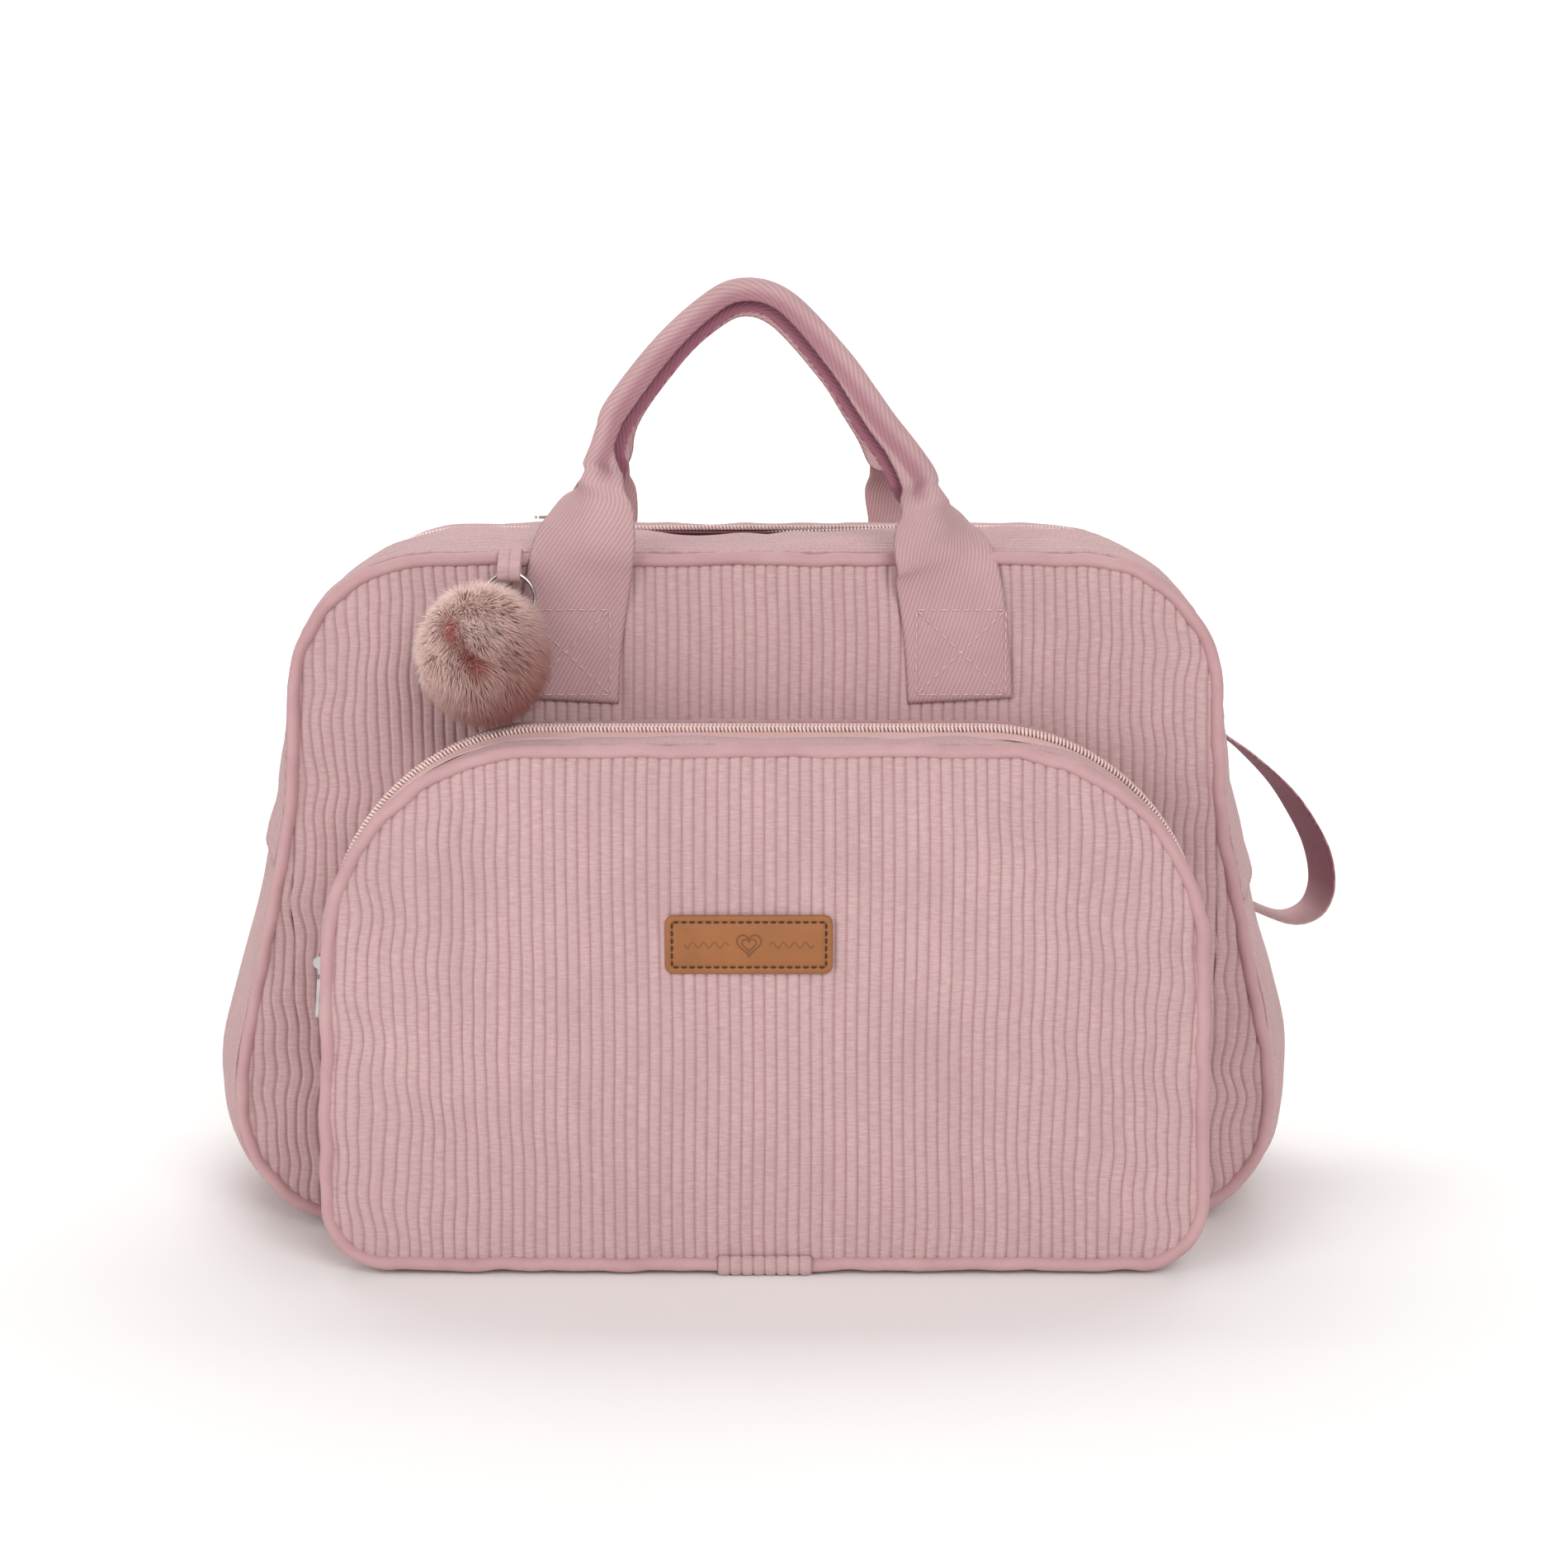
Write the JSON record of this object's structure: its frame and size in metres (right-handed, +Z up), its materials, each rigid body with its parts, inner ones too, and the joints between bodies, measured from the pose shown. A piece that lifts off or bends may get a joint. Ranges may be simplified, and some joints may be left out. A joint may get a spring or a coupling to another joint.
{
  "type": "baby changing bag",
  "caption": "Padded corduroy baby changing bag with a zipped front pocket, piped seams, folded webbing handles, a side loop and a pompom charm.",
  "frame": {"origin": "centre of the flat base, midway between the front and back panels, on the resting surface", "axes": "+X to the right along the width as seen from the pocket side, +Y from the pocket side to the back, +Z up"},
  "size_m": [0.4598, 0.2167, 0.3687],
  "materials": {
    "corduroy": "wide-wale dusty pink corduroy",
    "piping": "dusty pink cloth-covered cord",
    "webbing": "twill-woven dusty pink cotton webbing",
    "zip_tape": "woven tape",
    "zip_coil": "nylon coil",
    "padding": "soft foam sheet",
    "lining": "smooth dark mauve lining",
    "board": "stiff sheet",
    "leather": "smooth tan",
    "thread": "pale pink sewing thread",
    "label_thread": "dark brown sewing thread",
    "metal": "polished nickel",
    "fur": "long soft fur",
    "cord": "fine elastic cord"
  },
  "bodies": {
    "bag_body": {"front_panel": "corduroy", "back_panel": "corduroy", "lower_gusset": "corduroy", "top_gusset_front": "corduroy", "top_gusset_back": "corduroy", "front_piping": "piping", "back_piping": "piping", "main_zip_tape_front": "zip_tape", "main_zip_tape_back": "zip_tape", "main_zip_coil_front": "zip_coil", "main_zip_coil_back": "zip_coil", "left_seam_tab": "corduroy", "right_seam_tab": "corduroy", "foam_front": "padding", "foam_back": "padding", "foam_lower_gusset": "padding", "lining": "lining", "base_board": "board", "pocket_panel": "corduroy", "pocket_piping": "piping", "pocket_lower_gusset": "corduroy", "pocket_strip_front": "corduroy", "pocket_strip_back": "corduroy", "pocket_zip_tape_front": "zip_tape", "pocket_zip_tape_back": "zip_tape", "pocket_zip_coil_front": "zip_coil", "pocket_zip_coil_back": "zip_coil", "pocket_foam": "padding", "pocket_lining": "lining", "pocket_seam_tab": "corduroy", "label": "leather", "label_stitching": "label_thread", "front_handle_ends": "webbing", "front_handle_stitching": "thread", "back_handle_ends": "webbing", "back_handle_stitching": "thread", "side_loop_ends": "webbing", "pompom_tab": "corduroy"},
    "front_carry_handle": {"front_handle": "webbing"},
    "back_carry_handle": {"back_handle": "webbing"},
    "side_loop_body": {"side_loop": "webbing"},
    "main_slider_body": {"main_zip_slider": "metal"},
    "main_pull_body": {"main_zip_pull": "metal"},
    "pocket_slider_body": {"pocket_zip_slider": "metal"},
    "pocket_pull_body": {"pocket_zip_pull": "metal"},
    "charm_ring_body": {"pompom_ring": "metal"},
    "charm_body": {"pompom": "fur", "pompom_loop": "cord"}
  },
  "joints": [
    {"name": "front_handle_fold", "type": "hinge", "parent": "bag_body", "child": "front_carry_handle", "pos_m": [0, -0.0799, 0.2619], "axis": [1, 0, 0], "range_deg": [0, 100]},
    {"name": "back_handle_fold", "type": "hinge", "parent": "bag_body", "child": "back_carry_handle", "pos_m": [0, 0.0799, 0.2619], "axis": [-1, 0, 0], "range_deg": [0, 175]},
    {"name": "side_loop_swing", "type": "hinge", "parent": "bag_body", "child": "side_loop_body", "pos_m": [0.1835, 0.04, 0.191], "axis": [-0.227, 0, 0.9739], "range_deg": [-20, 20]},
    {"name": "main_zip_travel", "type": "slide", "parent": "bag_body", "child": "main_slider_body", "axis": [1, 0, 0], "range_m": [-0.04, 0.17], "deforming": ["main_zip_coil_front", "main_zip_coil_back", "main_zip_tape_front", "main_zip_tape_back"]},
    {"name": "main_pull_swing", "type": "hinge", "parent": "main_slider_body", "child": "main_pull_body", "pos_m": [-0.068, 0, 0.27275], "axis": [0, 1, 0], "range_deg": [0, 150]},
    {"name": "pocket_zip_travel", "type": "hinge", "parent": "bag_body", "child": "pocket_slider_body", "pos_m": [-0.07915, -0.104, 0.118], "axis": [0, 1, 0], "range_deg": [0, 62], "deforming": ["pocket_zip_coil_front", "pocket_zip_coil_back", "pocket_zip_tape_front", "pocket_zip_tape_back"]},
    {"name": "pocket_pull_swing", "type": "hinge", "parent": "pocket_slider_body", "child": "pocket_pull_body", "pos_m": [-0.16314, -0.104, 0.11139], "axis": [0, 1, 0], "range_deg": [0, 150]},
    {"name": "charm_ring_swing", "type": "hinge", "parent": "bag_body", "child": "charm_ring_body", "pos_m": [-0.093, -0.083, 0.2559], "axis": [-1, 0, 0], "range_deg": [0, 35]},
    {"name": "charm_swing", "type": "hinge", "parent": "charm_ring_body", "child": "charm_body", "pos_m": [-0.09972, -0.083, 0.23968], "axis": [-1, 0, 0], "range_deg": [0, 25]}
  ]
}
